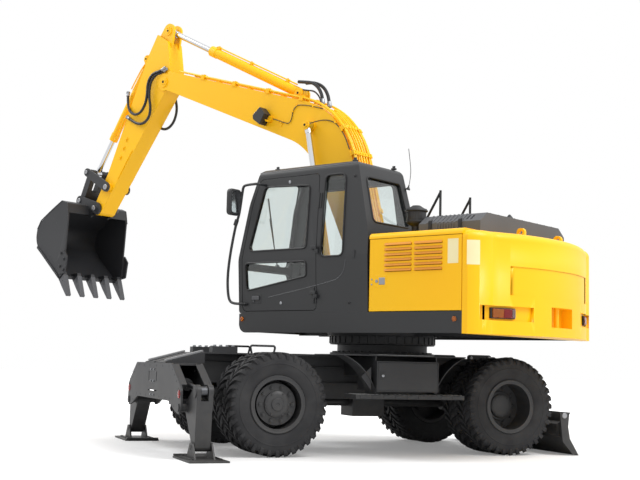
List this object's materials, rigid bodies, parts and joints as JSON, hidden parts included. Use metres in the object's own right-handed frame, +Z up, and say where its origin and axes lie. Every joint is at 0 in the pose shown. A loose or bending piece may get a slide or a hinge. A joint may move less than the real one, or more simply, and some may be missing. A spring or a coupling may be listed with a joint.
{
  "type": "wheeled excavator",
  "caption": "Wheeled excavator with swung upper works, one-piece boom, bucket, front outriggers and a rear blade.",
  "frame": {"origin": "middle of the bounding box on the ground", "axes": "+X to the outrigger end of the carrier, +Y to the carrier's left side, +Z up"},
  "size_m": [5.2884, 7.6116, 5.523],
  "materials": {
    "yellow_paint": "satin",
    "charcoal_paint": "satin",
    "tyre_rubber": "matte",
    "tinted_glass": "polished",
    "chromed_steel": "polished",
    "seat_fabric": "matte",
    "black_plastic": "matte",
    "engine_alloy": "matte"
  },
  "bodies": {
    "carrier": {"chassis": "charcoal_paint", "slew_ring": "charcoal_paint", "front_axle": "charcoal_paint", "rear_axle": "charcoal_paint", "driveline": "charcoal_paint", "side_boxes": "charcoal_paint", "outrigger_box": "charcoal_paint"},
    "upper": {"upper_ring": "charcoal_paint", "deck": "charcoal_paint", "counterweight": "yellow_paint", "lift_eyes": "yellow_paint", "tail_lamps": "charcoal_paint", "engine_bay": "yellow_paint", "engine": "engine_alloy", "right_tanks": "yellow_paint", "cab_shell": "charcoal_paint", "cab_glass": "tinted_glass", "seat": "seat_fabric", "controls": "black_plastic", "handrail": "charcoal_paint", "pre_cleaner": "black_plastic"},
    "knuckle_left": {"knuckle_left": "charcoal_paint"},
    "knuckle_right": {"knuckle_right": "charcoal_paint"},
    "steering_rod": {"steering_rod": "chromed_steel"},
    "boom": {"boom": "yellow_paint"},
    "boom_barrels": {"boom_barrels": "yellow_paint"},
    "boom_rods": {"boom_rods": "chromed_steel"},
    "arm": {"arm": "yellow_paint"},
    "arm_barrel": {"arm_barrel": "yellow_paint"},
    "arm_rod": {"arm_rod": "chromed_steel"},
    "bucket": {"bucket": "charcoal_paint"},
    "bucket_barrel": {"bucket_barrel": "yellow_paint"},
    "bucket_rod": {"bucket_rod": "chromed_steel"},
    "rocker": {"rocker": "charcoal_paint"},
    "bucket_link": {"bucket_link": "charcoal_paint"},
    "blade": {"blade": "charcoal_paint"},
    "blade_barrels": {"blade_barrels": "charcoal_paint"},
    "blade_rods": {"blade_rods": "chromed_steel"},
    "cab_door": {"cab_door": "charcoal_paint", "cab_door_glass": "tinted_glass"},
    "bay_door_left": {"bay_door_left": "yellow_paint"},
    "bay_door_right": {"bay_door_right": "yellow_paint"},
    "hood": {"hood": "yellow_paint"},
    "side_box_door": {"side_box_door": "charcoal_paint"},
    "wheel_front_left": {"rims_front_left": "charcoal_paint", "tyres_front_left": "tyre_rubber"},
    "wheel_rear_left": {"rims_rear_left": "charcoal_paint", "tyres_rear_left": "tyre_rubber"},
    "outrigger_leg_left": {"outrigger_leg_left": "charcoal_paint"},
    "outrigger_foot_left": {"outrigger_foot_left": "charcoal_paint"},
    "outrigger_barrel_left": {"outrigger_barrel_left": "charcoal_paint"},
    "outrigger_rod_left": {"outrigger_rod_left": "chromed_steel"},
    "wheel_front_right": {"rims_front_right": "charcoal_paint", "tyres_front_right": "tyre_rubber"},
    "wheel_rear_right": {"rims_rear_right": "charcoal_paint", "tyres_rear_right": "tyre_rubber"},
    "outrigger_leg_right": {"outrigger_leg_right": "charcoal_paint"},
    "outrigger_foot_right": {"outrigger_foot_right": "charcoal_paint"},
    "outrigger_barrel_right": {"outrigger_barrel_right": "charcoal_paint"},
    "outrigger_rod_right": {"outrigger_rod_right": "chromed_steel"}
  },
  "joints": [
    {"name": "swing", "type": "hinge", "parent": "carrier", "child": "upper", "pos_m": [-0.64589, 1.52011, 1.14], "axis": [0, 0, 1], "continuous": true},
    {"name": "steer_left", "type": "hinge", "parent": "carrier", "child": "knuckle_left", "pos_m": [1.00411, 2.22011, 0.512], "axis": [0, 0, 1], "range_deg": [-20, 20]},
    {"name": "steer_right", "type": "hinge", "parent": "carrier", "child": "knuckle_right", "pos_m": [1.00411, 0.82011, 0.512], "axis": [0, 0, 1], "range_deg": [-20, 20]},
    {"name": "steering_slide", "type": "slide", "parent": "carrier", "child": "steering_rod", "axis": [0, 1, 0], "range_m": [-0.062, 0.062]},
    {"name": "wheel_front_left", "type": "hinge", "parent": "knuckle_left", "child": "wheel_front_left", "pos_m": [1.00411, 2.43511, 0.512], "axis": [0, 1, 0], "continuous": true},
    {"name": "wheel_rear_left", "type": "hinge", "parent": "carrier", "child": "wheel_rear_left", "pos_m": [-1.60589, 2.43511, 0.512], "axis": [0, 1, 0], "continuous": true},
    {"name": "wheel_front_right", "type": "hinge", "parent": "knuckle_right", "child": "wheel_front_right", "pos_m": [1.00411, 0.60511, 0.512], "axis": [0, 1, 0], "continuous": true},
    {"name": "wheel_rear_right", "type": "hinge", "parent": "carrier", "child": "wheel_rear_right", "pos_m": [-1.60589, 0.60511, 0.512], "axis": [0, 1, 0], "continuous": true},
    {"name": "outrigger_left", "type": "hinge", "parent": "carrier", "child": "outrigger_leg_left", "pos_m": [1.82411, 2.64011, 0.47], "axis": [1, 0, 0], "range_deg": [-8, 100]},
    {"name": "outrigger_foot_left", "type": "hinge", "parent": "outrigger_leg_left", "child": "outrigger_foot_left", "pos_m": [1.82411, 2.90511, 0.125], "axis": [-1, 0, 0], "range_deg": [-30, 50]},
    {"name": "outrigger_barrel_left", "type": "hinge", "parent": "carrier", "child": "outrigger_barrel_left", "pos_m": [1.82411, 1.62011, 0.74], "axis": [1, 0, 0], "range_deg": [-0.7, 8.1]},
    {"name": "outrigger_rod_left", "type": "slide", "parent": "outrigger_barrel_left", "child": "outrigger_rod_left", "axis": [0, 0.9968, -0.0805], "range_m": [-0.505, 0.041]},
    {"name": "outrigger_right", "type": "hinge", "parent": "carrier", "child": "outrigger_leg_right", "pos_m": [1.82411, 0.40011, 0.47], "axis": [-1, 0, 0], "range_deg": [-8, 100]},
    {"name": "outrigger_foot_right", "type": "hinge", "parent": "outrigger_leg_right", "child": "outrigger_foot_right", "pos_m": [1.82411, 0.13511, 0.125], "axis": [1, 0, 0], "range_deg": [-30, 50]},
    {"name": "outrigger_barrel_right", "type": "hinge", "parent": "carrier", "child": "outrigger_barrel_right", "pos_m": [1.82411, 1.42011, 0.74], "axis": [-1, 0, 0], "range_deg": [-0.7, 8.1]},
    {"name": "outrigger_rod_right", "type": "slide", "parent": "outrigger_barrel_right", "child": "outrigger_rod_right", "axis": [0, -0.9968, -0.0805], "range_m": [-0.505, 0.041]},
    {"name": "blade", "type": "hinge", "parent": "carrier", "child": "blade", "pos_m": [-1.96589, 1.52011, 0.64], "axis": [0, 1, 0], "range_deg": [-8, 30]},
    {"name": "blade_barrels", "type": "hinge", "parent": "carrier", "child": "blade_barrels", "pos_m": [-2.17589, 1.52011, 1], "axis": [0, 1, 0], "range_deg": [-3.3, 12.1]},
    {"name": "blade_rods", "type": "slide", "parent": "blade_barrels", "child": "blade_rods", "axis": [-0.0517, 0, -0.9987], "range_m": [-0.14, 0.038]},
    {"name": "boom", "type": "hinge", "parent": "upper", "child": "boom", "pos_m": [-0.60698, 1.45021, 1.75], "axis": [-0.8738, -0.4863, 0], "range_deg": [-67, 5]},
    {"name": "boom_barrels", "type": "hinge", "parent": "upper", "child": "boom_barrels", "pos_m": [-0.40272, 1.08322, 1.4], "axis": [-0.8738, -0.4863, 0], "range_deg": [-70.3, 5.3]},
    {"name": "boom_rods", "type": "slide", "parent": "boom_barrels", "child": "boom_rods", "axis": [0.0989, -0.1777, 0.9791], "range_m": [-0.644, 0.049]},
    {"name": "arm", "type": "hinge", "parent": "boom", "child": "arm", "pos_m": [1.11801, -1.64899, 4.67906], "axis": [0.8738, 0.4863, 0], "range_deg": [-55, 44]},
    {"name": "arm_barrel", "type": "hinge", "parent": "boom", "child": "arm_barrel", "pos_m": [-0.02251, 0.40013, 4.2209], "axis": [0.8738, 0.4863, 0], "range_deg": [-5.3, 4.2]},
    {"name": "arm_rod", "type": "slide", "parent": "arm_barrel", "child": "arm_rod", "axis": [0.4344, -0.7804, 0.4497], "range_m": [-0.547, 0.438]},
    {"name": "bucket", "type": "hinge", "parent": "arm", "child": "bucket", "pos_m": [1.76202, -2.80604, 3.03503], "axis": [0.8738, 0.4863, 0], "range_deg": [-60, 85]},
    {"name": "rocker", "type": "hinge", "parent": "arm", "child": "rocker", "pos_m": [1.64823, -2.60161, 3.31912], "axis": [0.8738, 0.4863, 0], "range_deg": [-48.6, 68.8]},
    {"name": "bucket_link", "type": "hinge", "parent": "rocker", "child": "bucket_link", "pos_m": [1.85777, -2.97807, 3.568], "axis": [0.8738, 0.4863, 0], "range_deg": [-49.6, 35]},
    {"name": "bucket_barrel", "type": "hinge", "parent": "arm", "child": "bucket_barrel", "pos_m": [1.349, -2.06399, 5.09372], "axis": [0.8738, 0.4863, 0], "range_deg": [-2.8, 4]},
    {"name": "bucket_rod", "type": "slide", "parent": "bucket_barrel", "child": "bucket_rod", "axis": [0.275, -0.4941, -0.8247], "range_m": [-0.388, 0.549]},
    {"name": "cab_door", "type": "hinge", "parent": "upper", "child": "cab_door", "pos_m": [0.43795, 2.15541, 2.2], "axis": [0, 0, 1], "range_deg": [0, 150]},
    {"name": "bay_door_left", "type": "hinge", "parent": "upper", "child": "bay_door_left", "pos_m": [-0.45288, 3.71275, 1.8], "axis": [0, 0, 1], "range_deg": [0, 85]},
    {"name": "bay_door_right", "type": "hinge", "parent": "upper", "child": "bay_door_right", "pos_m": [-2.6111, 2.5115, 1.8], "axis": [0, 0, -1], "range_deg": [0, 85]},
    {"name": "hood", "type": "hinge", "parent": "upper", "child": "hood", "pos_m": [-2.09567, 2.31541, 2.252], "axis": [0.4863, -0.8738, 0], "range_deg": [0, 65]},
    {"name": "side_box_door", "type": "hinge", "parent": "carrier", "child": "side_box_door", "pos_m": [-0.39589, 2.71011, 0.664], "axis": [-1, 0, 0], "range_deg": [0, 90]}
  ],
  "couplings": [
    {"joint": "steer_right", "follows": "steer_left", "ratio": 1},
    {"joint": "steering_slide", "follows": "steer_left", "m_per_rad": 0.16853},
    {"joint": "outrigger_barrel_left", "follows": "outrigger_left", "ratio": 0.0768},
    {"joint": "outrigger_rod_left", "follows": "outrigger_left", "m_per_rad": -0.27507},
    {"joint": "outrigger_barrel_right", "follows": "outrigger_right", "ratio": 0.0768},
    {"joint": "outrigger_rod_right", "follows": "outrigger_right", "m_per_rad": -0.27507},
    {"joint": "blade_barrels", "follows": "blade", "ratio": 0.3831},
    {"joint": "blade_rods", "follows": "blade", "m_per_rad": -0.25342},
    {"joint": "boom_barrels", "follows": "boom", "ratio": 0.9981},
    {"joint": "boom_rods", "follows": "boom", "m_per_rad": 0.52444},
    {"joint": "arm_barrel", "follows": "arm", "ratio": 0.0909},
    {"joint": "arm_rod", "follows": "arm", "m_per_rad": 0.54227},
    {"joint": "rocker", "follows": "bucket", "ratio": 0.7706},
    {"joint": "bucket_link", "follows": "bucket", "ratio": -0.5547},
    {"joint": "bucket_barrel", "follows": "bucket", "ratio": 0.0438},
    {"joint": "bucket_rod", "follows": "bucket", "m_per_rad": 0.35227}
  ]
}
